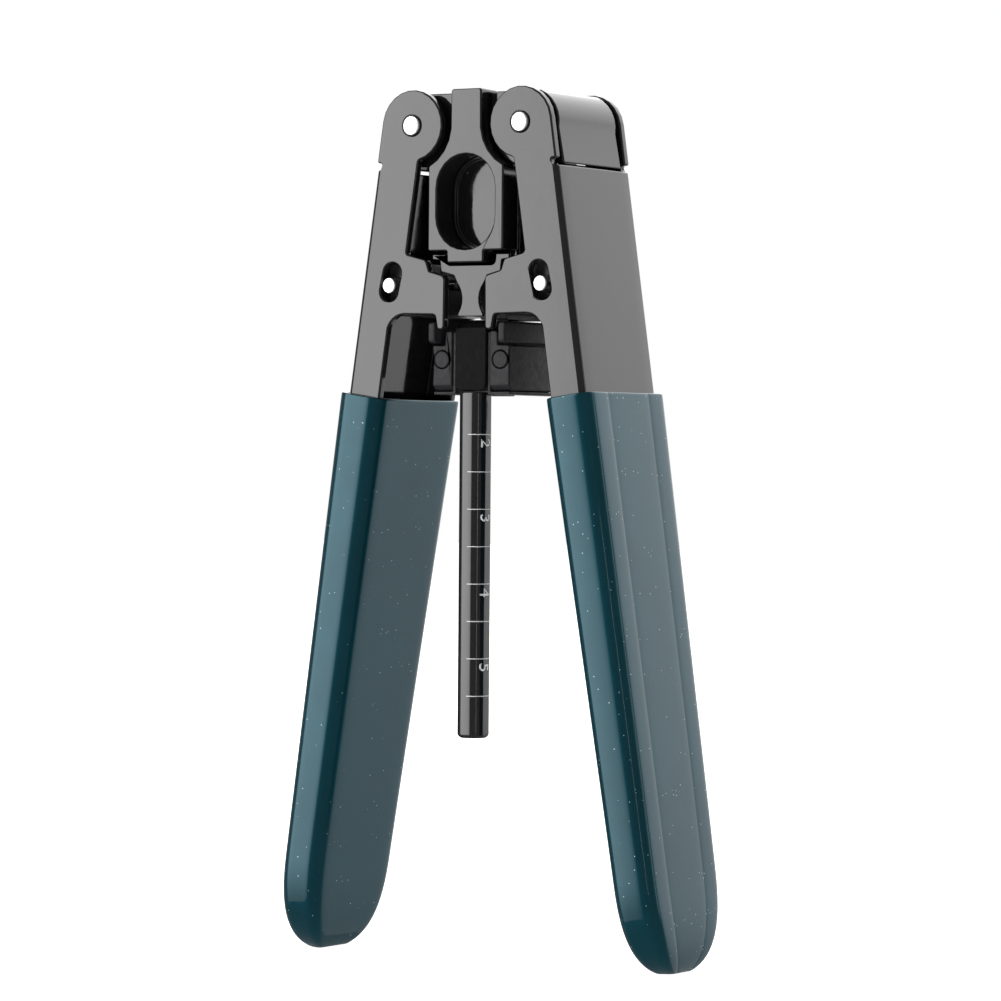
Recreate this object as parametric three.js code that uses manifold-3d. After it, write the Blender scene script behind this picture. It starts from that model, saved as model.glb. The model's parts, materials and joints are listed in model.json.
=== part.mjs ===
// Drop-cable stripping pliers: two pressed-steel channel handles with vinyl grips turn on two
// pivot pins in a head frame, and drive a pair of blade slides towards the cable path.
// Millimetres. X is across the tool, Y runs from the front (-Y) to the back, Z is up.
import * as THREE from 'three';
import { mergeVertices } from 'three/addons/utils/BufferGeometryUtils.js';
import Module from 'manifold-3d';

const wasm = await Module();
wasm.setup();

// ---- Driving dimensions -------------------------------------------------------------------
const PIVOT_X = 8.53;            // pivot axes stand this far from the centre plane
const PIVOT_Z = 112.3;           // height of the pivot axes above the lowest point
const SPLAY = THREE.MathUtils.degToRad(8.3); // outward lean of each handle at rest
const DEPTH = 19.3;              // over the outer faces of the handle flanges
const SHEET = 1.2;               // handle sheet thickness
const EAR_R = 4.8;               // round ear at each pivot
const WEB_U = 4.9;               // outer face of the handle web, from the pivot axis
const BEND = 0.9;                // outer bend radius between flange and web
const COIN = 1.8;                // width of the flattened strip beside each bend
const WEB_TOP = -6.5;            // upper edge of the web, below the pivot
const TAIL_END = -100;           // lower end of the steel inside the grip
const GRIP_TOP = -36.9;          // upper rim of the grip, below the pivot
const GRIP_END = -114.7;         // rounded tip of the grip, before it is trimmed level
const PIVOT_PIN_R = 1.3;
const SLIDE_PIN_R = 1.02;
const SLIDE_PIN = { x: 11.9, z: -21.43 };
const SLOT = { u: 0.19, w: -21.22, width: 2.8, length: 5.3, lean: THREE.MathUtils.degToRad(-4) };
const FRAME_Y = 7.5;             // front and back faces of the head frame
const FRAME_R = 4.7;             // frame shoulders, round the pivots
const FRAME_TOP = 4.35;
const FRAME_FOOT = -5.45;
const FRAME_WALL = 1.2;
const COLUMN = {
  front: 9.6, thick: 4.0, neck: 2.4, half: 5.92, top: 4.72, foot: -16.9, tab: 2.88, tabFoot: -18.5,
};
const FLARE_R = 6.12;            // column flanks, concentric with the pivots
const WINDOW = { half: 4.54, top: -4.0, foot: -16.78 };
const CLASP = { front: 8.15, thick: 0.5 };
const BLOCK = { half: 2.46, top: -26.1, foot: -35.6, front: 8.0, back: 7.5 };
const CHEEK = {
  inner: 3.0, step: 4.14, outer: 6.04, top: -27.6, shelf: -29.5, foot: -35.6, front: 7.9, back: 7.5,
};
const TIE = { x: 5.5, thick: 1.1, top: -26.4, foot: -29.2, reach: 9.15 };
const RULER = { half: 1.95, front: 8.5, thick: 3.05, top: -35.8, foot: -82.1, corner: 1.45 };
const SLIDE = {
  inner: 4.9, outer: 13.5, top: -20.4, foot: -25.4, front: 7.4, back: 7.4, rib: 9.8, ribTop: -18.3,
};
const RODS = [0.6, 5.4];         // depth of the two guide rods
const ROD = { r: 0.75, z: -24.0, reach: 10.4 };
const CLEAR = 0.2;               // running and fitting clearance
const ARC_STEP = THREE.MathUtils.degToRad(15);

// ---- Finishes -----------------------------------------------------------------------------
const finish = (color, roughness, metalness) => () => (
  new THREE.MeshStandardMaterial({ color, roughness, metalness })
);
const lacquer = finish(0x1a1a1c, 0.12, 0.6);
const castBlack = finish(0x2a2a2c, 0.45, 0.5);
const brightSteel = finish(0xe6e6e6, 0.2, 1.0);
const springSteel = finish(0x9a9a9a, 0.3, 1.0);
const vinyl = finish(0x05383b, 0.2, 0.0);

// ---- Solids -------------------------------------------------------------------------------
function solidOf(geometry) {
  const bare = geometry.clone();
  bare.deleteAttribute('normal');
  bare.deleteAttribute('uv');
  const merged = mergeVertices(bare, 1e-4);
  return new wasm.Manifold(new wasm.Mesh({
    numProp: 3,
    vertProperties: new Float32Array(merged.attributes.position.array),
    triVerts: new Uint32Array(merged.index.array),
  }));
}

function geometryOf(solid) {
  const mesh = solid.getMesh();
  const geometry = new THREE.BufferGeometry();
  geometry.setAttribute('position', new THREE.BufferAttribute(new Float32Array(mesh.vertProperties), 3));
  geometry.setIndex(new THREE.BufferAttribute(new Uint32Array(mesh.triVerts), 1));
  geometry.computeVertexNormals();
  return geometry;
}

// Points of an arc, both ends included, in equal steps no longer than the given one.
function arc(cx, cy, r, from, to, step = ARC_STEP) {
  const steps = Math.max(2, Math.ceil(Math.abs(to - from) / step - 1e-6));
  return Array.from({ length: steps + 1 }, (_, i) => {
    const angle = from + ((to - from) * i) / steps;
    return new THREE.Vector2(cx + r * Math.cos(angle), cy + r * Math.sin(angle));
  });
}

// A closed outline from corners [x, y, radius]; a Vector2 is a plain point of a longer arc.
function outline(corners) {
  const at = (corner) => (corner.isVector2 ? corner : new THREE.Vector2(corner[0], corner[1]));
  return corners.flatMap((corner, i) => {
    const p = at(corner);
    const radius = corner.isVector2 ? 0 : corner[2] ?? 0;
    if (radius === 0) return [p];
    const before = at(corners[(i + corners.length - 1) % corners.length]).clone().sub(p).normalize();
    const after = at(corners[(i + 1) % corners.length]).clone().sub(p).normalize();
    const half = Math.acos(THREE.MathUtils.clamp(before.dot(after), -1, 1)) / 2;
    const centre = before.clone().add(after).normalize().multiplyScalar(radius / Math.sin(half)).add(p);
    const start = before.clone().multiplyScalar(radius / Math.tan(half)).add(p).sub(centre);
    const end = after.clone().multiplyScalar(radius / Math.tan(half)).add(p).sub(centre);
    const turn = Math.atan2(start.cross(end), start.dot(end));
    return arc(centre.x, centre.y, radius, start.angle(), start.angle() + turn);
  });
}

// A plate whose outline lies in the XZ plane, from depth y0 to y1.
function plate(points, y0, y1, holes = []) {
  const shape = new THREE.Shape(points);
  shape.holes = holes.map((hole) => new THREE.Path(hole));
  const geometry = new THREE.ExtrudeGeometry(shape, { depth: y1 - y0, bevelEnabled: false, steps: 1 });
  geometry.rotateX(Math.PI / 2);
  geometry.translate(0, y1, 0);
  return solidOf(geometry);
}

function box(x0, x1, y0, y1, z0, z1) {
  const geometry = new THREE.BoxGeometry(x1 - x0, y1 - y0, z1 - z0);
  geometry.translate((x0 + x1) / 2, (y0 + y1) / 2, (z0 + z1) / 2);
  return solidOf(geometry);
}

// A round bar along Y at (x, z).
function bar(x, z, r, y0, y1, sides = 24) {
  const geometry = new THREE.CylinderGeometry(r, r, y1 - y0, sides);
  geometry.translate(x, (y0 + y1) / 2, z);
  return solidOf(geometry);
}

// A round pin along Y with its two ends turned to a small chamfer.
function pin(x, z, r, reach) {
  const chamfer = 0.2;
  const profile = [[0, -reach], [r - chamfer, -reach], [r, chamfer - reach], [r, reach - chamfer],
    [r - chamfer, reach], [0, reach]].map(([px, py]) => new THREE.Vector2(px, py));
  const geometry = new THREE.LatheGeometry(profile, 24);
  geometry.translate(x, 0, z);
  return geometry;
}

// A whole outline from its right half; points on the centre line only close the half.
function mirrored(points) {
  const right = points.filter((p) => p.x > 1e-6);
  return [...right, ...right.map((p) => new THREE.Vector2(-p.x, p.y)).reverse()];
}

function stadium(x, z, half, top, foot) {
  return [...arc(x, top - half, half, 0, Math.PI), ...arc(x, foot + half, half, Math.PI, 2 * Math.PI)];
}

// A closed skin through rings of equal length; each ring is { w, points: [[u, y], ...] }.
function loft(rings) {
  const count = rings[0].points.length;
  const position = rings.flatMap(({ w, points }) => points.flatMap(([u, y]) => [u, y, w]));
  const index = [];
  for (let r = 0; r + 1 < rings.length; r += 1) {
    for (let i = 0; i < count; i += 1) {
      const a = r * count + i;
      const b = r * count + ((i + 1) % count);
      index.push(a, b, b + count, a, b + count, a + count);
    }
  }
  const rim = rings[0].points.map(([u, y]) => new THREE.Vector2(u, y));
  const cap = THREE.ShapeUtils.triangulateShape(rim, []);
  const last = (rings.length - 1) * count;
  cap.forEach(([a, b, c]) => index.push(c, b, a, last + a, last + b, last + c));
  const geometry = new THREE.BufferGeometry();
  geometry.setAttribute('position', new THREE.Float32BufferAttribute(position, 3));
  geometry.setIndex(index);
  return solidOf(geometry);
}

// ---- Scene graph --------------------------------------------------------------------------
const tool = new THREE.Group();
const head = new THREE.Group();
head.position.z = PIVOT_Z;
tool.add(head);

function addTo(group, name, shape, material) {
  const mesh = new THREE.Mesh(shape.isBufferGeometry ? shape : geometryOf(shape), material);
  mesh.name = name;
  group.add(mesh);
}

const sides = [{ side: 'left', sign: -1 }, { side: 'right', sign: 1 }];

// ---- Handle channels ----------------------------------------------------------------------
// Handle axes: u outwards from the pivot, w up along the handle; drawn for the right handle.
const LEG_IN = -1.71;            // inner edge of the upper leg
const LEG_IN_LOW = -0.35;        // inner edge below the jaw
const TAIL = { top: -38, half: 8.0, edge: 1.2 }; // the steel narrows from here to its lower end

function flangeOutline() {
  const meet = Math.PI + Math.acos(-LEG_IN / EAR_R);
  return outline([
    [EAR_R, WEB_TOP + 0.9],
    ...arc(0, 0, EAR_R, 0, meet),
    [LEG_IN, -17.2, 0.5],
    [-5.0, -17.55, 0.6],
    [-5.72, -18.98, 0.45],
    [-8.28, -19.3, 0.7],
    [-9.22, -26.42, 0.5],
    [-8.1, -26.5, 0.5],
    [-7.5, -24.6, 0.5],
    [-0.25, -25.5, 2.8],
    [LEG_IN_LOW, TAIL.top],
    [WEB_U - BEND, TAIL.top],
    [WEB_U - BEND, WEB_TOP + 0.9],
  ]);
}

// Section of the channel: front flange, bend, coined strip and web, then the same to the back.
// The edge is the inner limit of both flanges; grow makes the pocket that the grip needs round it.
function channelRing(w, half, edge, grow = 0) {
  const inner = edge - grow;
  const out = WEB_U + grow;
  const face = half + grow;
  const wall = SHEET + 2 * grow;
  const bend = arc(out - BEND - 0.1, -face + BEND, BEND, -Math.PI / 2, -0.1).map((p) => [p.x, p.y]);
  const front = [[inner, -face + wall], [inner, -face], ...bend, [out, -face + BEND + COIN]];
  const back = front.map(([u, y]) => [u, -y]).reverse();
  const inside = [[out - wall, face - wall], [out - wall, -face + wall]];
  return { w, points: [...front, ...back, ...inside] };
}

const tailRings = (grow) => [
  channelRing(WEB_TOP, DEPTH / 2, LEG_IN_LOW, grow),
  channelRing(TAIL.top, DEPTH / 2, LEG_IN_LOW, grow),
  channelRing(TAIL_END - grow, TAIL.half, TAIL.edge, grow),
].reverse();

function handleChannel() {
  const flange = (y0) => plate(flangeOutline(), y0, y0 + SHEET);
  let channel = loft(tailRings(0)).add(flange(-DEPTH / 2)).add(flange(DEPTH / 2 - SHEET));
  channel = channel.subtract(bar(0, 0, PIVOT_PIN_R + 0.08, -DEPTH, DEPTH));
  const r = SLOT.width / 2;
  const slot = stadium(0, 0, r, SLOT.length / 2, -SLOT.length / 2).map((p) => p
    .rotateAround(new THREE.Vector2(), -SLOT.lean)
    .add(new THREE.Vector2(SLOT.u, SLOT.w)));
  return channel.subtract(plate(slot, -DEPTH, DEPTH));
}

// ---- Grips --------------------------------------------------------------------------------
const GRIP = {
  topHalf: 10.7, lowHalf: 9.6,   // half depth at the rim and where the tip begins to round
  topIn: -1.25, lowIn: -0.3,     // inner face, from the pivot axis
  out: 6.05, lowOut: 6.1,        // outer face
  corner: 2.5, roundFrom: -100,
  bluntY: 2.4, bluntX: 4,        // powers of the tip's rounding, seen from the side and from the front
};

function gripRing(w, half, inner, outer, corner) {
  const r = Math.min(corner, half * 0.98, ((outer - inner) / 2) * 0.98);
  const step = Math.PI / 8;
  const points = [
    ...arc(outer - r, half - r, r, 0, Math.PI / 2, step),
    ...arc(inner + r, half - r, r, Math.PI / 2, Math.PI, step),
    ...arc(inner + r, r - half, r, Math.PI, 1.5 * Math.PI, step),
    ...arc(outer - r, r - half, r, 1.5 * Math.PI, 2 * Math.PI, step),
  ];
  return { w, points: points.map((p) => [p.x, p.y]) };
}

function gripRings() {
  const rings = [];
  const straight = 4;
  for (let i = 0; i <= straight; i += 1) {
    const t = i / straight;
    const w = THREE.MathUtils.lerp(GRIP_TOP, GRIP.roundFrom, t);
    const half = THREE.MathUtils.lerp(GRIP.topHalf, GRIP.lowHalf, t);
    const inner = THREE.MathUtils.lerp(GRIP.topIn, GRIP.lowIn, t);
    const outer = THREE.MathUtils.lerp(GRIP.out, GRIP.lowOut, t);
    rings.push(gripRing(w, half, inner, outer, GRIP.corner));
  }
  const tip = 9;
  const middle = (GRIP.lowIn + GRIP.lowOut) / 2;
  const thick = (GRIP.lowOut - GRIP.lowIn) / 2;
  for (let i = 1; i <= tip; i += 1) {
    const t = Math.sin((i / tip) * (Math.PI / 2) * 0.97);
    const w = THREE.MathUtils.lerp(GRIP.roundFrom, GRIP_END, t);
    const share = (1 - t ** GRIP.bluntY) ** (1 / GRIP.bluntY);
    const slim = thick * Math.sqrt(1 - t ** GRIP.bluntX);
    rings.push(gripRing(w, GRIP.lowHalf * share, middle - slim, middle + slim, GRIP.corner * share));
  }
  return rings.reverse();
}

function grip() {
  return loft(gripRings()).subtract(loft(tailRings(0.25)));
}

// ---- Return springs -----------------------------------------------------------------------
function returnSpring() {
  const coil = { r: 2.65, wire: 0.4, turns: 4, half: 2.6 };
  const points = [
    new THREE.Vector3(-3.9, -coil.half, -coil.r),
    new THREE.Vector3(-2, -coil.half, -coil.r),
  ];
  const steps = coil.turns * 12 + 3;
  for (let i = 0; i <= steps; i += 1) {
    const angle = -Math.PI / 2 + (i / 12) * 2 * Math.PI;
    const y = THREE.MathUtils.lerp(-coil.half, coil.half, i / steps);
    points.push(new THREE.Vector3(coil.r * Math.cos(angle), y, coil.r * Math.sin(angle)));
  }
  points.reverse();
  points.unshift(new THREE.Vector3(3.0, coil.half, -9), new THREE.Vector3(2.8, coil.half, -3));
  const path = new THREE.CatmullRomCurve3(points);
  const section = new THREE.Shape(arc(0, 0, coil.wire, 0, 1.6 * Math.PI, 0.4 * Math.PI));
  return solidOf(new THREE.ExtrudeGeometry(section, { steps: 66, extrudePath: path, bevelEnabled: false }));
}

// The right-hand shape serves both sides: the left one is its mirror image.
function forSide(shape, sign) {
  return sign > 0 ? shape : shape.mirror([1, 0, 0]);
}

for (const { side, sign } of sides) {
  const handle = new THREE.Group();
  handle.position.x = sign * PIVOT_X;
  handle.rotation.y = -sign * SPLAY;
  head.add(handle);
  addTo(handle, `${side}_handle`, forSide(handleChannel(), sign), lacquer());
  // The tips are trimmed level, so that the tool can be stood on them.
  const ground = box(-60, 60, -20, 20, -20, 0);
  const place = new THREE.Matrix4().makeRotationY(sign * SPLAY)
    .multiply(new THREE.Matrix4().makeTranslation(-sign * PIVOT_X, 0, -PIVOT_Z));
  addTo(handle, `${side}_grip`, forSide(grip(), sign).subtract(ground.transform(place.elements)), vinyl());
  addTo(handle, `${side}_return_spring`, forSide(returnSpring(), sign), springSteel());
}

// ---- Head frame ---------------------------------------------------------------------------
function columnOutline(grow = 0) {
  const flare = arc(PIVOT_X, 0, FLARE_R - grow, Math.PI + 0.09, Math.PI + 1.13);
  return mirrored(outline([
    [0, COLUMN.top + grow],
    [0, COLUMN.tabFoot - grow],
    [COLUMN.tab + grow, COLUMN.tabFoot - grow, 0.35],
    [COLUMN.tab + grow, COLUMN.foot - grow, 0.25],
    [COLUMN.half + grow, COLUMN.foot - grow, 0.35],
    ...flare.reverse(),
    [COLUMN.neck + grow, COLUMN.top + grow, 0.4],
  ]));
}

function shoulderOutline(inset, foot) {
  const r = FRAME_R - inset;
  const top = FRAME_TOP - inset;
  const side = arc(PIVOT_X, 0, r, -SPLAY, Math.asin(top / r));
  const footX = PIVOT_X + r / Math.cos(SPLAY) - foot * Math.tan(SPLAY);
  return mirrored([new THREE.Vector2(footX, foot), ...side]);
}

function headFrame() {
  let frame = plate(shoulderOutline(0, FRAME_FOOT), -FRAME_Y, FRAME_Y);
  const inner = FRAME_Y - FRAME_WALL;
  frame = frame.subtract(plate(shoulderOutline(FRAME_WALL, FRAME_FOOT - 1), -inner, inner));
  frame = frame.subtract(plate(columnOutline(0.15), -FRAME_Y - 1, -inner + 1));
  frame = frame.subtract(plate(columnOutline(0.15), inner - 1, FRAME_Y + 1));
  for (const { sign } of sides) {
    frame = frame.subtract(bar(sign * PIVOT_X, 0, PIVOT_PIN_R + 0.1, -FRAME_Y - 1, FRAME_Y + 1));
  }
  return frame;
}
addTo(head, 'head_frame', headFrame(), lacquer());

// Washers fill the space between the frame and the inner faces of the ears.
const WASHER = { r: 3.4, thick: 0.65, gap: 0.15 };
for (const { side, sign } of sides) {
  addTo(head, `${side}_pivot_pin`, pin(sign * PIVOT_X, 0, PIVOT_PIN_R, DEPTH / 2 + 0.3), brightSteel());
  const seats = [['front', -FRAME_Y - WASHER.gap - WASHER.thick], ['rear', FRAME_Y + WASHER.gap]];
  for (const [end, y0] of seats) {
    const ring = bar(sign * PIVOT_X, 0, WASHER.r, y0, y0 + WASHER.thick)
      .subtract(bar(sign * PIVOT_X, 0, PIVOT_PIN_R + 0.1, y0 - 1, y0 + 2));
    addTo(head, `${side}_${end}_washer`, ring, springSteel());
  }
}

// ---- Window column, rear column and the parts between them --------------------------------
const windowHole = stadium(0, 0, WINDOW.half, WINDOW.top, WINDOW.foot);
const windowRecess = stadium(0, 0, WINDOW.half - 0.35, WINDOW.top - 0.35, WINDOW.foot + 0.35);
const columnBack = COLUMN.thick - COLUMN.front;
addTo(head, 'window_column', plate(columnOutline(), -COLUMN.front, columnBack, [windowHole]), lacquer());
addTo(head, 'rear_column', plate(columnOutline(), -columnBack, COLUMN.front), lacquer());

const CABLE = { half: 1.8, front: -5.4, back: -3.2 }; // path of the flat cable behind the ruler
const FLOOR = { front: columnBack + CLEAR, thick: 0.8, recess: 0.45 }; // sheet behind the window
const windowPlate = plate(outline([
  [-5.6, -18.2], [5.6, -18.2], [5.6, -6.4, 0.6], [3.4, -3.4, 2], [-3.4, -3.4, 2], [-5.6, -6.4, 0.6],
]), FLOOR.front, FLOOR.front + FLOOR.thick)
  .subtract(plate(windowRecess, FLOOR.front - 1, FLOOR.front + FLOOR.recess))
  .subtract(box(-CABLE.half, CABLE.half, -8, 0, -20, WINDOW.foot - 0.3));
addTo(head, 'window_plate', windowPlate, lacquer());

const SPINE_BACK = -columnBack - CLEAR;
function spine() {
  const upper = plate(outline([
    [-5.4, -18.3], [5.4, -18.3], [5.4, -6], [3.3, -6], [3.3, 2.9], [-3.3, 2.9], [-3.3, -6], [-5.4, -6],
  ]), CABLE.back, SPINE_BACK);
  let block = upper.add(box(-2.1, 2.1, -2.2, 7.45, -25.9, -17));
  block = block.subtract(plate(columnOutline(0.15), SPINE_BACK, 9));
  for (const y of RODS) block = block.subtract(rodAt(y, ROD.r + 0.1, 6));
  return block;
}

// A round rod along X at depth y.
function rodAt(y, r, reach) {
  const geometry = new THREE.CylinderGeometry(r, r, 2 * reach, 16);
  geometry.rotateZ(Math.PI / 2);
  geometry.translate(0, y, ROD.z);
  return solidOf(geometry);
}
addTo(head, 'spine_block', spine(), castBlack());
addTo(head, 'front_guide_rod', rodAt(RODS[0], ROD.r, ROD.reach), brightSteel());
addTo(head, 'rear_guide_rod', rodAt(RODS[1], ROD.r, ROD.reach), brightSteel());

// ---- Clasp plates and the bridge that carries the front one --------------------------------
const claspOutline = mirrored(outline([
  [0, -18.74],
  [0, -25.65],
  [2.05, -25.65, 0.2],
  ...arc(4.6, -23.3, 3.25, Math.PI + 0.62, Math.PI - 0.72),
  [2.65, -20.15, 0.2],
  [4.7, -19.62, 0.2],
  [4.88, -18.1, 0.2],
  [6.06, -17.96, 0.15],
  [6.06, -17.3, 0.15],
  [3.92, -17.3, 0.15],
  [3.85, -18.74, 0.7],
]));
addTo(head, 'clasp_plate', plate(claspOutline, -CLASP.front, CLASP.thick - CLASP.front), lacquer());
addTo(head, 'rear_clasp_plate', plate(claspOutline, CLASP.front - CLASP.thick, CLASP.front), lacquer());

const bridge = box(-5.3, 5.3, -7.5, -5.6, -20.15, -18.75)
  .add(box(-5.3, -3.9, -6, 1, -20.15, -18.5)).add(box(3.9, 5.3, -6, 1, -20.15, -18.5))
  .subtract(box(-4.2, 4.2, -8, -5.5, -18.75, -18));
addTo(head, 'slide_bridge', bridge, castBlack());

// ---- Cable guide: block, side plates, cheeks, rivets, tie bars and ruler --------------------
function guideBlock() {
  const section = outline([
    [-BLOCK.half, BLOCK.foot, 1.0], [BLOCK.half, BLOCK.foot, 1.0],
    [BLOCK.half, BLOCK.top], [-BLOCK.half, BLOCK.top],
  ]);
  const bevel = box(-5, 5, -1, 1, -1, 1)
    .transform(new THREE.Matrix4().makeTranslation(0, -BLOCK.front - 0.14, BLOCK.top + 0.14)
      .multiply(new THREE.Matrix4().makeRotationX(Math.PI / 4)).elements);
  return plate(section, -BLOCK.front, BLOCK.back).subtract(bevel)
    .subtract(box(-CABLE.half, CABLE.half, CABLE.front, CABLE.back, BLOCK.foot - 1, BLOCK.top + 1));
}
addTo(head, 'guide_block', guideBlock(), castBlack());

// Side plates: upright sheets between block and cheek, each with a foot turned outwards.
const PLATE = { inner: 2.5, thick: 0.45, reach: 6.0, front: 7.65, back: 7.5, top: -27.7, foot: -36.1 };
const FOOT_THICK = 0.4;
for (const { side, sign } of sides) {
  const outer = PLATE.inner + PLATE.thick;
  const upright = box(PLATE.inner, outer, -PLATE.front, PLATE.back, PLATE.foot, PLATE.top);
  const foot = box(PLATE.inner, PLATE.reach, -PLATE.front, PLATE.back, PLATE.foot, PLATE.foot + FOOT_THICK);
  const sidePlate = upright.add(foot);
  addTo(head, `${side}_side_plate`, forSide(sidePlate, sign), lacquer());

  const cheekOutline = outline([
    [CHEEK.inner, CHEEK.foot], [CHEEK.outer, CHEEK.foot, 0.3], [CHEEK.outer, CHEEK.shelf, 0.3],
    [CHEEK.step, CHEEK.shelf, 0.2], [CHEEK.step, CHEEK.top, 0.3], [CHEEK.inner, CHEEK.top],
  ]);
  const chamfer = box(2, 7, -1.3, 1.3, -1.3, 1.3)
    .transform(new THREE.Matrix4().makeTranslation(0, -CHEEK.front - 0.55, CHEEK.foot - 0.55)
      .multiply(new THREE.Matrix4().makeRotationX(Math.PI / 4)).elements);
  const rivet = { x: 4.59, z: -31.4, r: 1.12, y0: -CHEEK.front - 0.05, y1: -CHEEK.front + 3 };
  const cheek = plate(cheekOutline, -CHEEK.front, CHEEK.back).subtract(chamfer)
    .subtract(bar(rivet.x, rivet.z, rivet.r + 0.12, -9, rivet.y1 + 0.15));
  addTo(head, `${side}_cheek`, forSide(cheek, sign), castBlack());
  const stud = bar(rivet.x, rivet.z, rivet.r, rivet.y0, rivet.y1);
  addTo(head, `${side}_cheek_rivet`, forSide(stud, sign), castBlack());

  const middle = (TIE.top + TIE.foot) / 2;
  const half = (TIE.top - TIE.foot) / 2;
  const strap = new THREE.Shape(outline([
    [-TIE.reach, middle - half, 0.5], [TIE.reach, middle - half, 0.5],
    [TIE.reach, middle + half, 0.5], [-TIE.reach, middle + half, 0.5],
  ]));
  const tie = new THREE.ExtrudeGeometry(strap, { depth: TIE.thick, bevelEnabled: false, steps: 1 });
  tie.rotateX(Math.PI / 2);
  tie.rotateZ(Math.PI / 2);
  tie.translate(sign * TIE.x - TIE.thick / 2, 0, 0);
  addTo(head, `${side}_tie_bar`, tie, lacquer());
}

function rulerBar() {
  const { half, front, thick, corner } = RULER;
  const ring = (w, inset) => ({
    w,
    points: outline([
      [half - inset, -front + inset, corner], [half - inset, thick - front - inset, 0.4],
      [-half + inset, thick - front - inset, 0.4], [-half + inset, -front + inset, corner],
    ]).map((p) => [p.x, p.y]),
  });
  return loft([ring(RULER.foot, 0.3), ring(RULER.foot + 0.4, 0), ring(RULER.top, 0)]);
}
addTo(head, 'ruler_bar', rulerBar(), lacquer());

// ---- Blade slides -------------------------------------------------------------------------
for (const { side, sign } of sides) {
  const screw = { x: 7.4, y: -4.4, r: 0.7 };
  const seat = -21.9;            // floor of the blade seat
  const upright = (r, z0, z1) => {
    const geometry = new THREE.CylinderGeometry(r, r, z1 - z0, 16);
    geometry.rotateX(Math.PI / 2);
    geometry.translate(screw.x, screw.y, (z0 + z1) / 2);
    return solidOf(geometry);
  };
  let slide = box(SLIDE.inner, SLIDE.outer, -SLIDE.front, SLIDE.back, SLIDE.foot, SLIDE.top)
    .add(box(SLIDE.rib, SLIDE.outer, -SLIDE.front, SLIDE.back, SLIDE.foot, SLIDE.ribTop))
    .subtract(box(SLIDE.inner - 1, 9.6, -SLIDE.front - 1, -1.6, seat, SLIDE.top + 1))
    .subtract(bar(SLIDE_PIN.x, SLIDE_PIN.z, SLIDE_PIN_R + 0.06, -9, 9))
    .subtract(upright(screw.r + 0.12, -24.5, SLIDE.top + 1));
  for (const y of RODS) slide = slide.subtract(rodAt(y, ROD.r + 0.1, 20));
  addTo(head, `${side}_slide`, forSide(slide, sign), castBlack());
  const dowel = pin(sign * SLIDE_PIN.x, SLIDE_PIN.z, SLIDE_PIN_R, DEPTH / 2 + 0.25);
  addTo(head, `${side}_slide_pin`, dowel, brightSteel());

  const blade = box(3.0, 9.3, -6.8, -2.45, seat + 0.15, seat + 0.75)
    .subtract(box(2, 4.1, -5.6, -3.2, seat - 1, seat + 2))
    .subtract(upright(screw.r + 0.12, seat - 1, seat + 2));
  addTo(head, `${side}_blade`, forSide(blade, sign), brightSteel());
  const fixing = upright(screw.r, -24.3, seat + 1).add(upright(1.3, seat + 0.9, seat + 1.4));
  addTo(head, `${side}_blade_screw`, forSide(fixing, sign), springSteel());
}

export default tool;
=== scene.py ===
"""Drop-cable stripping pliers: the finished look of every piece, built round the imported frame."""
import json
import math

import bpy
from mathutils import Matrix, Vector


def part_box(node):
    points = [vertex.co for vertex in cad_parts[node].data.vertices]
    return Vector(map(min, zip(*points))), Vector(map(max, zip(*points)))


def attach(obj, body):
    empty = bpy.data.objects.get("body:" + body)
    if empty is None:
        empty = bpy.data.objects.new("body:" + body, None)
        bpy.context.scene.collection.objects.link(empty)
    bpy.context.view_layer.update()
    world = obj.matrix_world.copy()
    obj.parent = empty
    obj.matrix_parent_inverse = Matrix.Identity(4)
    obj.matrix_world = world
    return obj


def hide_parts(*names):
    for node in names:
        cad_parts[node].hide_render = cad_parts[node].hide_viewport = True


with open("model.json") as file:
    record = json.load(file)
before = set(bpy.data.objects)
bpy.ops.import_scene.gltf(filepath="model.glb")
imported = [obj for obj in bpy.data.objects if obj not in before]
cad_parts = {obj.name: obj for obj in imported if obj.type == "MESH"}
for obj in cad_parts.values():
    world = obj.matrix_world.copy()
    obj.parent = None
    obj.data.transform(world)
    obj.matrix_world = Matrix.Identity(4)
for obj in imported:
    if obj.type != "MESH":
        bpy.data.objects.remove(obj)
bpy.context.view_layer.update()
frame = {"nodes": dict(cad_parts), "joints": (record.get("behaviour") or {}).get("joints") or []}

bpy.ops.object.select_all(action="DESELECT")
MM = 0.001

# ---- Studio ---------------------------------------------------------------------------------
# A white table and a white surround, with one large soft box to the front left, a wider one
# behind, a narrow one to the right and a strip to the front right. The camera looks level.
CAMERA_AZIMUTH = math.radians(31.765)
CAMERA_ELEVATION = math.radians(0.54)
CAMERA_ROLL = math.radians(0.452)
CAMERA_DISTANCE = 0.6035
CAMERA_TARGET = Vector((-0.05, 0, 62.0)) * MM
CAMERA_LENS = 160.4
CAMERA_SENSOR = 36
SCREEN_EDGE = 0.5       # a screen's own coordinates run from minus this to plus this
SURROUND_SEEN = 1.0
SURROUND_LIGHT = 0.22
TABLE_SIZE = 5
TABLE_DROP = -0.1 * MM
TABLE_GLOW = 0.97

away = Vector((
    math.sin(CAMERA_AZIMUTH) * math.cos(CAMERA_ELEVATION),
    -math.cos(CAMERA_AZIMUTH) * math.cos(CAMERA_ELEVATION),
    math.sin(CAMERA_ELEVATION),
))
bpy.ops.object.camera_add(location=CAMERA_TARGET + CAMERA_DISTANCE * away)
camera = bpy.context.object
camera.rotation_euler = (
    (-away).to_track_quat("-Z", "Y").to_matrix() @ Matrix.Rotation(CAMERA_ROLL, 3, "Z")
).to_euler()
camera.data.sensor_width = CAMERA_SENSOR
camera.data.lens = CAMERA_LENS
camera.data.clip_start = 0.01
bpy.context.scene.camera = camera
bpy.context.scene.view_settings.view_transform = "Standard"


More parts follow.
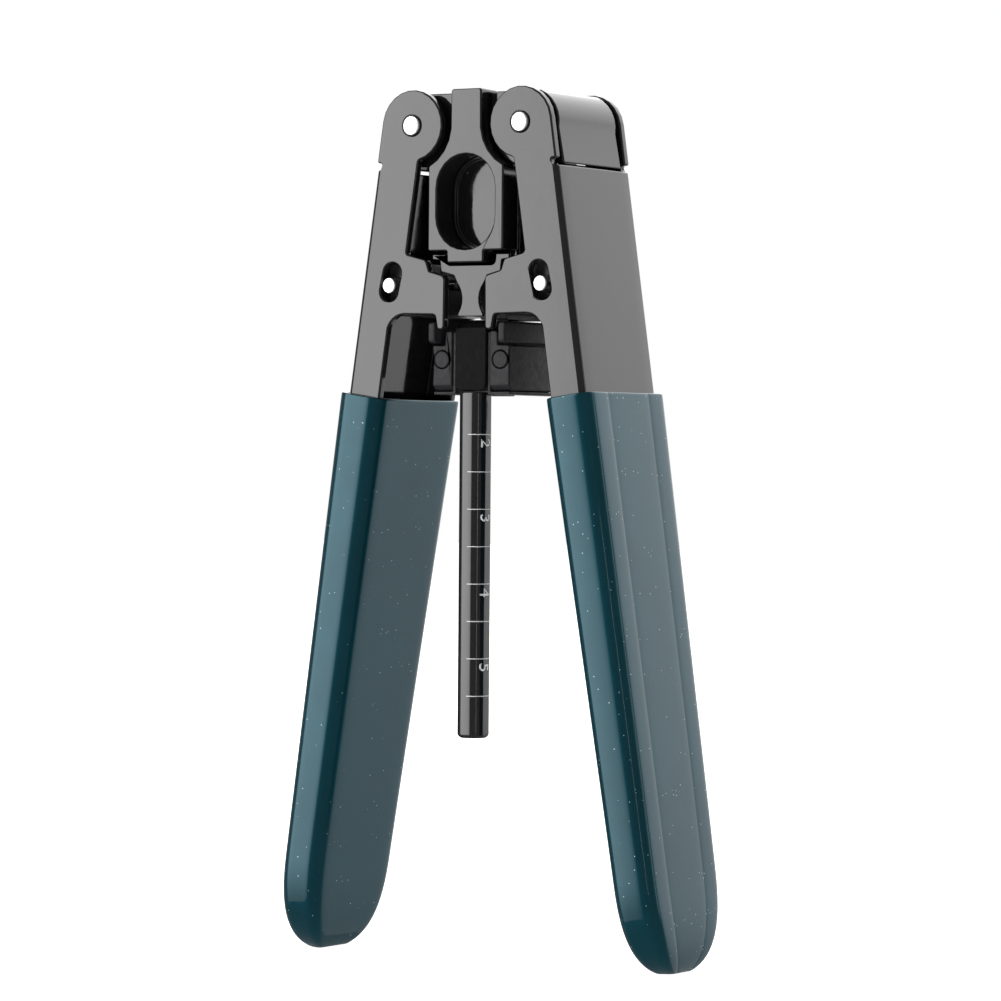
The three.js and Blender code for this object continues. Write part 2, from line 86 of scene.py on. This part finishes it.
def soft_box(name, azimuth, distance, foot, size, radiance, fade_side, fade_foot, foot_share=0.0):
    """An upright glowing screen at an azimuth round the tool, dimmer towards its sides and foot."""
    angle = math.radians(azimuth)
    centre = Vector((math.sin(angle) * distance, -math.cos(angle) * distance, foot + size[1] / 2))
    bpy.ops.mesh.primitive_plane_add(size=1, location=centre, rotation=(math.pi / 2, 0, angle))
    screen = bpy.context.object
    screen.name = name
    screen.scale = (*size, 1)
    screen.visible_camera = False
    glow = bpy.data.materials.new(name)
    glow.use_nodes = True
    tree = glow.node_tree
    tree.nodes.clear()
    place = tree.nodes.new("ShaderNodeTexCoord")
    parts = tree.nodes.new("ShaderNodeSeparateXYZ")
    tree.links.new(place.outputs["Object"], parts.inputs["Vector"])
    outward = tree.nodes.new("ShaderNodeMath")
    outward.operation = "ABSOLUTE"
    tree.links.new(parts.outputs["X"], outward.inputs[0])
    level = None
    for value, low, high, start, stop in (
        (outward.outputs[0], SCREEN_EDGE, SCREEN_EDGE - fade_side, 0.0, radiance),
        (parts.outputs["Y"], -SCREEN_EDGE, fade_foot - SCREEN_EDGE, foot_share, 1.0),
    ):
        ramp = tree.nodes.new("ShaderNodeMapRange")
        ramp.interpolation_type = "SMOOTHSTEP"
        for socket, number in zip(("From Min", "From Max", "To Min", "To Max"), (low, high, start, stop)):
            ramp.inputs[socket].default_value = number
        tree.links.new(value, ramp.inputs["Value"])
        if level is None:
            level = ramp.outputs["Result"]
        else:
            both = tree.nodes.new("ShaderNodeMath")
            both.operation = "MULTIPLY"
            tree.links.new(level, both.inputs[0])
            tree.links.new(ramp.outputs["Result"], both.inputs[1])
            level = both.outputs[0]
    lamp = tree.nodes.new("ShaderNodeEmission")
    tree.links.new(level, lamp.inputs["Strength"])
    end = tree.nodes.new("ShaderNodeOutputMaterial")
    tree.links.new(lamp.outputs[0], end.inputs["Surface"])
    screen.data.materials.append(glow)


soft_box("soft_box_front_left", -42, 1.1, -0.6, (1.1, 2.0), 4.75, 0.36, 0.36, 0.3)
soft_box("soft_box_back", 174, 1.0, -0.6, (2.1, 2.4), 2.5, 0.1, 0.6, 0.2)
soft_box("soft_box_right", 114, 0.95, -0.09, (0.42, 1.9), 1.6, 0.35, 0.06)
soft_box("strip_light_front_right", 46, 1.0, -0.06, (0.035, 0.26), 6.0, 0.2, 0.1)

world = bpy.data.worlds.new("white_surround")
bpy.context.scene.world = world
world.use_nodes = True
surround = world.node_tree
surround.nodes.clear()
seen = surround.nodes.new("ShaderNodeBackground")
seen.inputs["Color"].default_value = (1, 1, 1, 1)
seen.inputs["Strength"].default_value = SURROUND_SEEN
dim = surround.nodes.new("ShaderNodeBackground")
dim.inputs["Color"].default_value = (1, 1, 1, 1)
dim.inputs["Strength"].default_value = SURROUND_LIGHT
either = surround.nodes.new("ShaderNodeMixShader")
ray = surround.nodes.new("ShaderNodeLightPath")
sky = surround.nodes.new("ShaderNodeOutputWorld")
surround.links.new(ray.outputs["Is Camera Ray"], either.inputs["Fac"])
surround.links.new(dim.outputs[0], either.inputs[1])
surround.links.new(seen.outputs[0], either.inputs[2])
surround.links.new(either.outputs[0], sky.inputs["Surface"])

bpy.ops.mesh.primitive_plane_add(size=TABLE_SIZE, location=(0, 0, TABLE_DROP))
table = bpy.context.object
table.name = "white_table"
table.visible_glossy = False
paper = bpy.data.materials.new("white_paper")
paper.use_nodes = True
paper_shader = paper.node_tree.nodes["Principled BSDF"]
paper_shader.inputs["Base Color"].default_value = (0.9, 0.9, 0.9, 1)
paper_shader.inputs["Roughness"].default_value = 0.9
paper_shader.inputs["Emission Color"].default_value = (1, 1, 1, 1)
paper_shader.inputs["Emission Strength"].default_value = TABLE_GLOW
table.data.materials.append(paper)


# ---- Head frame and columns -----------------------------------------------------------------
# The head is a pressed steel box with open front and back, and two steel columns let into it;
# all of it is stoved with a thick glossy black lacquer that rounds every edge.
FRAME_ROUND = 0.26 * MM
SHARP_ANGLE = math.radians(32)
FLAT_ANGLE = math.radians(0.8)
FLAT_WEIGHT = 90
WELD = 0.002 * MM
ORANGE_PEEL = 0.006 * MM


def make_active(piece):
    """Selects one piece alone and makes it the active object."""
    bpy.ops.object.select_all(action="DESELECT")
    piece.select_set(True)
    bpy.context.view_layer.objects.active = piece


def apply_modifier(piece, kind, **settings):
    """Adds a modifier with these settings and applies it at once."""
    make_active(piece)
    modifier = piece.modifiers.new(kind.lower(), kind)
    for name, value in settings.items():
        setattr(modifier, name, value)
    bpy.ops.object.modifier_apply(modifier=modifier.name)


def rounded_copy(name, node, edge, segments=3, weld=WELD):
    """A copy of a node's mesh with its triangles joined into faces and its edges rounded."""
    piece = bpy.data.objects.new(name, frame["nodes"][node].data.copy())
    bpy.context.scene.collection.objects.link(piece)
    piece.data.materials.clear()
    make_active(piece)
    bpy.ops.object.mode_set(mode="EDIT")
    bpy.ops.mesh.select_all(action="SELECT")
    bpy.ops.mesh.customdata_custom_splitnormals_clear()
    bpy.ops.mesh.remove_doubles(threshold=weld)
    bpy.ops.mesh.dissolve_degenerate(threshold=weld)
    bpy.ops.mesh.dissolve_limited(angle_limit=FLAT_ANGLE)
    bpy.ops.mesh.faces_shade_smooth()
    bpy.ops.object.mode_set(mode="OBJECT")
    apply_modifier(piece, "BEVEL", width=edge, segments=segments, limit_method="ANGLE",
                   angle_limit=SHARP_ANGLE, use_clamp_overlap=False, miter_outer="MITER_ARC")
    apply_modifier(piece, "WEIGHTED_NORMAL", mode="FACE_AREA", weight=FLAT_WEIGHT, keep_sharp=True)
    return piece


def new_finish(name):
    """An empty node material: its Principled shader and its node tree."""
    material = bpy.data.materials.new(name)
    material.use_nodes = True
    return material, material.node_tree, material.node_tree.nodes["Principled BSDF"]


def noise(tree, scale, detail=2.0):
    """A noise pattern fixed to the piece, in cycles a metre."""
    place = tree.nodes.new("ShaderNodeTexCoord")
    pattern = tree.nodes.new("ShaderNodeTexNoise")
    pattern.inputs["Scale"].default_value = scale
    pattern.inputs["Detail"].default_value = detail
    tree.links.new(place.outputs["Object"], pattern.inputs["Vector"])
    return pattern.outputs["Fac"]


def spread(tree, value, low, high, out_low, out_high):
    """Maps a value from one range to another."""
    node = tree.nodes.new("ShaderNodeMapRange")
    for socket, number in zip(("From Min", "From Max", "To Min", "To Max"), (low, high, out_low, out_high)):
        node.inputs[socket].default_value = number
    tree.links.new(value, node.inputs["Value"])
    return node.outputs["Result"]


def blend_colours(tree, factor, first, second):
    """A colour between two others; either may be a plain colour or another node's output."""
    node = tree.nodes.new("ShaderNodeMix")
    node.data_type = "RGBA"
    tree.links.new(factor, node.inputs["Factor"])
    for socket, colour in ((6, first), (7, second)):
        if isinstance(colour, tuple):
            node.inputs[socket].default_value = (*colour, 1)
        else:
            tree.links.new(colour, node.inputs[socket])
    return node.outputs[2]


def specks(tree, scale, size, share):
    """Small round specks: one in some of the cells of a grid, as a mask from 0 to 1."""
    place = tree.nodes.new("ShaderNodeTexCoord")
    cells = tree.nodes.new("ShaderNodeTexVoronoi")
    cells.inputs["Scale"].default_value = scale
    tree.links.new(place.outputs["Object"], cells.inputs["Vector"])
    dot = spread(tree, cells.outputs["Distance"], size, size * 0.6, 0, 1)
    chosen = tree.nodes.new("ShaderNodeSeparateColor")
    tree.links.new(cells.outputs["Color"], chosen.inputs["Color"])
    picked = spread(tree, chosen.outputs["Red"], 1 - share, 1 - share + 0.01, 0, 1)
    both = tree.nodes.new("ShaderNodeMath")
    both.operation = "MULTIPLY"
    tree.links.new(dot, both.inputs[0])
    tree.links.new(picked, both.inputs[1])
    return both.outputs[0]


def bump(tree, shader, height, distance):
    """Raises the surface by up to a distance where the pattern is high."""
    node = tree.nodes.new("ShaderNodeBump")
    node.inputs["Strength"].default_value = 1.0
    node.inputs["Distance"].default_value = distance
    tree.links.new(height, node.inputs["Height"])
    tree.links.new(node.outputs["Normal"], shader.inputs["Normal"])


def lacquer_finish(name, dark, light):
    """Thick black stoving lacquer: a faint orange peel, tiny dust nibs, soft changes in gloss."""
    material, tree, shader = new_finish(name)
    tone = blend_colours(tree, noise(tree, 120), dark, light)
    dust = specks(tree, 420, 0.045, 0.12)
    tree.links.new(blend_colours(tree, dust, tone, (0.12, 0.12, 0.12)), shader.inputs["Base Color"])
    tree.links.new(spread(tree, noise(tree, 260), 0.3, 0.7, 0.05, 0.11), shader.inputs["Roughness"])
    shader.inputs["IOR"].default_value = 1.6
    bump(tree, shader, noise(tree, 700), ORANGE_PEEL)
    return material


lacquer = lacquer_finish("black_lacquer", (0.004, 0.004, 0.0045), (0.009, 0.009, 0.01))
for name, node in (
    ("head_frame_shell", "head_frame"),
    ("window_column_post", "window_column"),
    ("rear_column_post", "rear_column"),
):
    part = rounded_copy(name, node, FRAME_ROUND, 4)
    part.data.materials.append(lacquer)
    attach(part, "head")
    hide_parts(node)

# ---- Window plate, clasp plates and the pieces between the columns --------------------------
# The window is closed by a thin steel plate, and the clasp plates lie flat behind the jaws.
# The spine and the bridge that join them are castings, under a thinner, duller black.
PLATE_ROUND = 0.15 * MM
CAST_GRAIN = 0.02 * MM


def cast_finish(name, dark, light, shine=0.36, gloss=0.5):
    """A fine-grained casting under thin black lacquer; shine is its roughness, gloss its reflection."""
    material, tree, shader = new_finish(name)
    shader.inputs["Specular IOR Level"].default_value = gloss
    tone = blend_colours(tree, noise(tree, 900, 4), dark, light)
    tree.links.new(tone, shader.inputs["Base Color"])
    tree.links.new(spread(tree, noise(tree, 1400, 3), 0.3, 0.7, shine - 0.08, shine + 0.1),
                   shader.inputs["Roughness"])
    bump(tree, shader, noise(tree, 2600, 3), CAST_GRAIN)
    return material


cast_black = cast_finish("cast_black", (0.012, 0.012, 0.013), (0.03, 0.03, 0.032))
for name, node, finish, slot in (
    ("window_floor_plate", "window_plate", lacquer, "black_lacquer"),
    ("front_clasp", "clasp_plate", lacquer, "black_lacquer"),
    ("rear_clasp", "rear_clasp_plate", lacquer, "black_lacquer"),
    ("spine_casting", "spine_block", cast_black, "cast_black"),
    ("bridge_casting", "slide_bridge", cast_black, "cast_black"),
):
    part = rounded_copy(name, node, PLATE_ROUND)
    part.data.materials.append(finish)
    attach(part, "head")
    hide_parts(node)

# ---- Pivot pins, slide pins and guide rods --------------------------------------------------
# Plated steel pins, turned on a lathe with a small chamfer and a slightly domed end, and left
# bright. The pivot pins are riveted in the frame, the slide pins and rods are pressed in.
TURNING_MARKS = 0.002 * MM
PIN_DOME = 0.03 * MM
ROD_DOME = 0.02 * MM
DOME_STEP = 0.35        # the dome rises in two steps of this share of the pin's radius
PIN_CHAMFER = 0.08      # share of the pin's radius


def steel_finish(name, base, low, high):
    """Plated or ground steel with fine turning marks in its gloss."""
    material, tree, shader = new_finish(name)
    tree.links.new(blend_colours(tree, noise(tree, 800, 3), base, tuple(0.9 * c for c in base)),
                   shader.inputs["Base Color"])
    shader.inputs["Metallic"].default_value = 1.0
    tree.links.new(spread(tree, noise(tree, 1800, 3), 0.3, 0.7, low, high), shader.inputs["Roughness"])
    bump(tree, shader, noise(tree, 4000), TURNING_MARKS)
    return material


bright_steel = steel_finish("bright_steel", (0.93, 0.93, 0.93), 0.28, 0.4)


def select_faces(piece, chosen):
    """Selects, in edit mode, just the faces that a test on the face picks out."""
    bpy.ops.object.mode_set(mode="OBJECT")
    for group in (piece.data.vertices, piece.data.edges):
        group.foreach_set("select", [False] * len(group))
    for face in piece.data.polygons:
        face.select = chosen(face)
    bpy.ops.object.mode_set(mode="EDIT")


def turned_pin(name, node, axis, dome):
    """A round pin that fills a node's box along one axis, with chamfered and domed ends."""
    low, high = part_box(node)
    centre = (low + high) / 2
    size = high - low
    radius = size[(axis + 1) % 3] / 2
    bpy.ops.mesh.primitive_cylinder_add(vertices=48, radius=radius, depth=size[axis], location=(0, 0, 0))
    pin = bpy.context.object
    pin.name = name
    for end in (1, -1):
        select_faces(pin, lambda face: face.normal.z * end > 0.99)
        bpy.ops.mesh.inset(thickness=DOME_STEP * radius, depth=0)
        bpy.ops.mesh.inset(thickness=DOME_STEP * radius, depth=0)
        bpy.ops.transform.translate(value=(0, 0, end * dome))
    bpy.ops.object.mode_set(mode="OBJECT")
    tall = size[axis] / (size[axis] + 2 * dome)
    pin.data.transform(Matrix.Diagonal((1, 1, tall, 1)))
    turn = Matrix.Rotation(math.pi / 2, 4, "X" if axis == 1 else "Y")
    pin.data.transform(Matrix.Translation(centre) @ turn)
    apply_modifier(pin, "BEVEL", width=PIN_CHAMFER * radius, segments=3, limit_method="ANGLE",
                   angle_limit=math.radians(40), use_clamp_overlap=True, harden_normals=True)
    bpy.ops.object.shade_smooth_by_angle(angle=math.radians(35))
    pin.data.materials.append(bright_steel)
    return pin


for side in ("left", "right"):
    pivot_pin = turned_pin(f"{side}_pivot_rivet", f"{side}_pivot_pin", 1, PIN_DOME)
    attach(pivot_pin, "head")
    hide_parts(f"{side}_pivot_pin")
    slide_pin = turned_pin(f"{side}_slide_dowel", f"{side}_slide_pin", 1, PIN_DOME)
    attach(slide_pin, f"{side}_slide_body")
    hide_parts(f"{side}_slide_pin")

for end in ("front", "rear"):
    rod = turned_pin(f"{end}_guide_bar", f"{end}_guide_rod", 0, ROD_DOME)
    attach(rod, "head")
    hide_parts(f"{end}_guide_rod")

# ---- Pivot washers --------------------------------------------------------------------------
# Flat zinc-plated steel washers, stamped from sheet. One at each end of a pivot pin spaces
# the handle from the head frame.
WASHER_ROUND = 0.08 * MM
zinc = steel_finish("zinc_plate", (0.45, 0.45, 0.46), 0.3, 0.45)
for side in ("left", "right"):
    for end in ("front", "rear"):
        washer = rounded_copy(f"{side}_{end}_spacer", f"{side}_{end}_washer", WASHER_ROUND)
        washer.data.materials.append(zinc)
        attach(washer, "head")
        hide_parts(f"{side}_{end}_washer")

# ---- Blade slides, blades and their screws --------------------------------------------------
# Two cast slides run on the guide rods. Each carries one ground steel blade, which is held by
# a small screw with a round head.
blade_steel = steel_finish("blade_steel", (0.6, 0.6, 0.61), 0.18, 0.3)
for side in ("left", "right"):
    for name, node, edge, finish, slot in (
        ("slide_casting", "slide", 0.2, cast_black, "cast_black"),
        ("blade_plate", "blade", 0.04, blade_steel, "blade_steel"),
        ("blade_fixing", "blade_screw", 0.08, zinc, "spring_steel"),
    ):
        part = rounded_copy(f"{side}_{name}", f"{side}_{node}", edge * MM)
        part.data.materials.append(finish)
        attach(part, f"{side}_slide_body")
        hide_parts(f"{side}_{node}")

# ---- Cable guide ----------------------------------------------------------------------------
# A cast block between two thin folded plates, with a cast cheek riveted on either side and a
# flat strap let into each cheek.
block_black = cast_finish("block_black", (0.003, 0.003, 0.0032), (0.007, 0.007, 0.0075), 0.3, 0.03)
cheek_black = cast_finish("cheek_black", (0.010, 0.010, 0.0115), (0.022, 0.022, 0.024), 0.45, 0.22)
part = rounded_copy("guide_casting", "guide_block", 0.2 * MM)
part.data.materials.append(block_black)
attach(part, "head")
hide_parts("guide_block")
for side in ("left", "right"):
    for name, node, edge, finish, slot in (
        ("folded_plate", "side_plate", 0.12, cheek_black, "black_lacquer"),
        ("cheek_casting", "cheek", 0.2, cheek_black, "cast_black"),
        ("cheek_stud", "cheek_rivet", 0.12, cheek_black, "cast_black"),
        ("strap", "tie_bar", 0.25, cheek_black, "black_lacquer"),
    ):
        part = rounded_copy(f"{side}_{name}", f"{side}_{node}", edge * MM)
        part.data.materials.append(finish)
        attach(part, "head")
        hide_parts(f"{side}_{node}")

# ---- Length scale ---------------------------------------------------------------------------
# A lacquered bar with lines rolled into it every five millimetres, counted from the blades,
# and the centimetres stamped on its right side; the marks are filled with white paint.
MARKS = range(20, 60, 5)
MARK_WIDTH = 0.1 * MM
MARK_PROUD = 0.012 * MM
FINE_WELD = 0.0005 * MM
DIGIT_SIZE = 2.6 * MM
DIGIT_DROP = 1.15 * MM
DIGIT_SHIFT = -0.1 * MM         # towards the front of the bar
DIGIT_DEPTH = 0.6 * MM
MARK_LENGTH = 2.8 * MM          # from the bar's middle to beyond its right side
MARK_DEPTH = 4 * MM
BAR_ROUND = 0.15 * MM
BLADE_LEVEL = (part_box("left_slide_pin")[0].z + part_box("left_slide_pin")[1].z) / 2
scale_low, scale_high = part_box("ruler_bar")
scale_middle = (scale_low.y + scale_high.y) / 2

scale_bar = rounded_copy("scale_bar", "ruler_bar", BAR_ROUND)
scale_bar.data.materials.append(lacquer)
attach(scale_bar, "head")
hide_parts("ruler_bar")

white_paint, tree, shader = new_finish("white_paint")
tree.links.new(blend_colours(tree, noise(tree, 3000), (0.75, 0.75, 0.76), (0.5, 0.5, 0.52)),
               shader.inputs["Base Color"])
shader.inputs["Roughness"].default_value = 0.5

marks = []
for mark in MARKS:
    level = BLADE_LEVEL - mark * MM
    bpy.ops.mesh.primitive_cube_add(size=1, location=(MARK_LENGTH / 2, scale_middle, level))
    bpy.ops.transform.resize(value=(MARK_LENGTH, MARK_DEPTH, MARK_WIDTH))
    marks.append(bpy.context.object)
    if mark % 10 == 0:
        bpy.ops.object.text_add(location=(0, 0, 0))
        digit = bpy.context.object
        digit.data.body = str(mark // 10)
        digit.data.size = DIGIT_SIZE
        digit.data.align_x = "CENTER"
        digit.data.align_y = "CENTER"
        digit.data.extrude = DIGIT_DEPTH
        bpy.ops.object.convert(target="MESH")
        digit = bpy.context.object
        turned = Matrix(((0, 0, 1), (0, 1, 0), (-1, 0, 0))).to_4x4()
        corner = (scale_high.x, scale_middle + DIGIT_SHIFT, level - DIGIT_DROP)
        digit.data.transform(Matrix.Translation(corner) @ turned)
        marks.append(digit)
for mark in marks:
    make_active(mark)
    bpy.ops.object.transform_apply()
    bpy.ops.object.mode_set(mode="EDIT")
    bpy.ops.mesh.select_all(action="SELECT")
    bpy.ops.mesh.remove_doubles(threshold=FINE_WELD)
    bpy.ops.mesh.normals_make_consistent(inside=False)
    bpy.ops.object.mode_set(mode="OBJECT")

scale_skin = bpy.data.objects.new("scale_skin", scale_bar.data.copy())
bpy.context.scene.collection.objects.link(scale_skin)
make_active(scale_skin)
bpy.ops.object.mode_set(mode="EDIT")
bpy.ops.mesh.select_all(action="SELECT")
bpy.ops.transform.shrink_fatten(value=MARK_PROUD)
bpy.ops.object.mode_set(mode="OBJECT")
for number, mark in enumerate(marks):
    apply_modifier(mark, "BOOLEAN", operation="INTERSECT", object=scale_skin, solver="EXACT")
    apply_modifier(mark, "BOOLEAN", operation="DIFFERENCE", object=scale_bar, solver="EXACT")
    mark.name = f"scale_mark_{number}"
    mark.data.materials.clear()
    mark.data.materials.append(white_paint)
    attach(mark, "head")
bpy.data.objects.remove(scale_skin)

# ---- Handles --------------------------------------------------------------------------------
# Each handle is one pressed steel channel, its back turned through tight bends, lacquered like
# the head.
CHANNEL_ROUND = 0.26 * MM
CHANNEL_WELD = 0.05 * MM
for side in ("left", "right"):
    channel = rounded_copy(f"{side}_channel", f"{side}_handle", CHANNEL_ROUND, 4, CHANNEL_WELD)
    channel.data.materials.append(lacquer)
    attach(channel, f"{side}_handle_body")
    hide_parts(f"{side}_handle")

# ---- Return springs -------------------------------------------------------------------------
# A torsion spring of drawn steel wire is coiled round each pivot, inside the head. Only its
# coil is made here, without legs.
SPRING_RADIUS = 2.65 * MM
SPRING_WIRE = 0.4 * MM
SPRING_TURNS = 4
SPRING_WIDTH = 5.2 * MM
SPRING_SIDES = 12
SPRING_STEPS = 28
HANDLE_SPLAY = math.radians(8.3)
pivots = {
    joint["name"].split("_")[0]: Vector(joint["pos_m"])
    for joint in frame["joints"]
    if "pos_m" in joint
}


def place_on_handle(piece, side):
    """Puts a right-hand piece, drawn round its pivot with Z up the handle, on either handle."""
    pivot = pivots[side]
    right_pivot = Matrix.Translation(Vector((abs(pivot.x), pivot.y, pivot.z)))
    piece.data.transform(right_pivot @ Matrix.Rotation(-HANDLE_SPLAY, 4, "Y"))
    if side == "left":
        piece.data.transform(Matrix.Diagonal((-1, 1, 1, 1)))
        piece.data.flip_normals()


spring_wire = steel_finish("spring_wire", (0.5, 0.5, 0.51), 0.22, 0.35)
for side in ("left", "right"):
    bpy.ops.mesh.primitive_circle_add(vertices=SPRING_SIDES, radius=SPRING_WIRE, fill_type="NGON",
                                      location=(0, 0, 0), rotation=(0, 0, 0))
    spring = bpy.context.object
    spring.name = f"{side}_coil_spring"
    start = Matrix.Translation((SPRING_RADIUS, 0, -SPRING_WIDTH / 2))
    spring.data.transform(start @ Matrix.Rotation(math.pi / 2, 4, "X"))
    bpy.ops.object.mode_set(mode="EDIT")
    bpy.ops.mesh.select_all(action="SELECT")
    bpy.ops.mesh.delete(type="ONLY_FACE")
    bpy.ops.object.mode_set(mode="OBJECT")
    apply_modifier(spring, "SCREW", angle=2 * math.pi, screw_offset=SPRING_WIDTH / SPRING_TURNS,
                   iterations=SPRING_TURNS, steps=SPRING_STEPS, render_steps=SPRING_STEPS, axis="Z",
                   use_smooth_shade=True)
    spring.data.transform(Matrix.Rotation(math.pi / 2, 4, "X"))
    place_on_handle(spring, side)
    make_active(spring)
    bpy.ops.object.mode_set(mode="EDIT")
    bpy.ops.mesh.select_all(action="SELECT")
    bpy.ops.mesh.fill_holes(sides=0)
    bpy.ops.mesh.normals_make_consistent(inside=False)
    bpy.ops.object.mode_set(mode="OBJECT")
    bpy.ops.object.shade_smooth_by_angle(angle=math.radians(50))
    spring.data.materials.append(spring_wire)
    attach(spring, f"{side}_handle_body")
    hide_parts(f"{side}_return_spring")

# ---- Grips ----------------------------------------------------------------------------------
# Thick sleeves of glossy dark teal vinyl with a fine metal fleck, dipped on to the handles: a
# rounded section, a shallow crease down each side of the outer face, and a round tip. Their
# sizes are millimetres from the pivot; each pair is at the rim and where the tip begins.
GRIP_TOP = -36.9
GRIP_ROUND_FROM = -100.0
GRIP_END = -114.4
GRIP_HALF = (10.7, 9.6)
GRIP_INNER = (-1.25, -0.3)
GRIP_OUTER = (6.05, 6.1)
GRIP_CORNER = 2.1
GRIP_WALL = 0.8
CORNER_STEPS = 5
CREASE_AT = 5.3
CREASE_HALF = 0.35
CREASE_DEPTH = 0.12
RIM_LEVELS = (0.35, 1.2)        # close rings under the rim keep its edge crisp
STRAIGHT_STEPS = 5
TIP_STEPS = 10
TIP_END = 0.97                  # the last ring stops this far round the quarter turn
TIP_BLUNT_X = 4
TIP_BLUNT_Y = 2.4
GROUND = 0.01                   # the tip is trimmed level at this height
FLECK_COLOUR = (0.45, 0.6, 0.62)

vinyl, tree, shader = new_finish("teal_vinyl")
teal = blend_colours(tree, noise(tree, 90), (0.0014, 0.033, 0.047), (0.0024, 0.046, 0.063))
fleck = specks(tree, 1300, 0.1, 0.3)
tree.links.new(blend_colours(tree, fleck, teal, FLECK_COLOUR), shader.inputs["Base Color"])
shader.inputs["Metallic"].default_value = 0.55
tree.links.new(spread(tree, noise(tree, 300), 0.3, 0.7, 0.27, 0.34), shader.inputs["Roughness"])
shader.inputs["Specular IOR Level"].default_value = 0.0
shader.inputs["Coat Weight"].default_value = 1.0
shader.inputs["Coat Roughness"].default_value = 0.03
shader.inputs["Coat IOR"].default_value = 1.34
bump(tree, shader, noise(tree, 260), 0.01 * MM)

for side in ("left", "right"):
    bpy.ops.mesh.primitive_plane_add(size=1, location=(0, 0, 0))
    sleeve = bpy.context.object
    sleeve.name = f"{side}_vinyl_sleeve"
    width = GRIP_OUTER[0] - GRIP_INNER[0]
    middle = (GRIP_OUTER[0] + GRIP_INNER[0]) / 2
    section = Matrix.Diagonal((width, 2 * GRIP_HALF[0], 1, 1))
    sleeve.data.transform(Matrix.Translation((middle, 0, GRIP_TOP)) @ section)
    bpy.ops.object.mode_set(mode="EDIT")
    bpy.ops.mesh.select_mode(type="VERT")
    bpy.ops.mesh.select_all(action="SELECT")
    bpy.ops.mesh.bevel(offset=GRIP_CORNER, segments=CORNER_STEPS, affect="VERTICES", offset_type="OFFSET")
    for line in (CREASE_AT + CREASE_HALF, CREASE_AT, CREASE_AT - CREASE_HALF):
        for sign in (1, -1):
            bpy.ops.mesh.select_all(action="SELECT")
            bpy.ops.mesh.bisect(plane_co=(0, sign * line, GRIP_TOP), plane_no=(0, 1, 0))
    bpy.ops.object.mode_set(mode="OBJECT")
    for vertex in sleeve.data.vertices:
        if abs(abs(vertex.co.y) - CREASE_AT) < 0.05 and vertex.co.x > middle:
            vertex.co.x -= CREASE_DEPTH
    levels = [(GRIP_TOP - drop, 0.0) for drop in RIM_LEVELS]
    for step in range(1, STRAIGHT_STEPS + 1):
        share = step / STRAIGHT_STEPS
        levels.append((GRIP_TOP + (GRIP_ROUND_FROM - GRIP_TOP) * share, share))
    rings = []
    for level, share in levels:
        half = GRIP_HALF[0] + (GRIP_HALF[1] - GRIP_HALF[0]) * share
        inner = GRIP_INNER[0] + (GRIP_INNER[1] - GRIP_INNER[0]) * share
        outer = GRIP_OUTER[0] + (GRIP_OUTER[1] - GRIP_OUTER[0]) * share
        rings.append((level, half, inner, outer))
    low_middle = (GRIP_INNER[1] + GRIP_OUTER[1]) / 2
    thick = (GRIP_OUTER[1] - GRIP_INNER[1]) / 2
    for step in range(1, TIP_STEPS + 1):
        turn = math.sin(step / TIP_STEPS * math.pi / 2 * TIP_END)
        share = (1 - turn**TIP_BLUNT_Y) ** (1 / TIP_BLUNT_Y)
        slim = thick * math.sqrt(1 - turn**TIP_BLUNT_X)
        rings.append((
            GRIP_ROUND_FROM + (GRIP_END - GRIP_ROUND_FROM) * turn,
            GRIP_HALF[1] * share, low_middle - slim, low_middle + slim,
        ))
    now = (GRIP_TOP, GRIP_HALF[0], GRIP_INNER[0], GRIP_OUTER[0])
    bpy.ops.object.mode_set(mode="EDIT")
    bpy.ops.mesh.select_mode(type="FACE")
    bpy.ops.mesh.select_all(action="SELECT")
    for ring in rings:
        bpy.ops.mesh.extrude_region_move(TRANSFORM_OT_translate={"value": (0, 0, ring[0] - now[0])})
        old_middle, new_middle = (now[2] + now[3]) / 2, (ring[2] + ring[3]) / 2
        scale_x = (ring[3] - ring[2]) / (now[3] - now[2])
        bpy.ops.transform.resize(value=(scale_x, ring[1] / now[1], 1),
                                 center_override=(old_middle, 0, ring[0]))
        bpy.ops.transform.translate(value=(new_middle - old_middle, 0, 0))
        now = ring
    bpy.ops.object.mode_set(mode="OBJECT")
    top = max(vertex.co.z for vertex in sleeve.data.vertices)
    select_faces(sleeve, lambda face: face.center.z > top - 0.01 and abs(face.normal.z) > 0.9)
    bpy.ops.mesh.delete(type="FACE")
    bpy.ops.mesh.select_all(action="SELECT")
    bpy.ops.mesh.normals_make_consistent(inside=False)
    bpy.ops.object.mode_set(mode="OBJECT")
    sleeve.data.transform(Matrix.Diagonal((MM, MM, MM, 1)))
    apply_modifier(sleeve, "SOLIDIFY", thickness=GRIP_WALL * MM, offset=-1, use_even_offset=True)
    apply_modifier(sleeve, "SUBSURF", levels=2, render_levels=2)
    place_on_handle(sleeve, side)
    make_active(sleeve)
    bpy.ops.object.mode_set(mode="EDIT")
    bpy.ops.mesh.select_all(action="SELECT")
    bpy.ops.mesh.bisect(plane_co=(0, 0, GROUND * MM), plane_no=(0, 0, 1), clear_inner=True, use_fill=True,
                        threshold=FINE_WELD)
    bpy.ops.object.mode_set(mode="OBJECT")
    bpy.ops.object.shade_smooth_by_angle(angle=math.radians(40))
    sleeve.data.materials.append(vinyl)
    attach(sleeve, f"{side}_handle_body")
    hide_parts(f"{side}_grip")
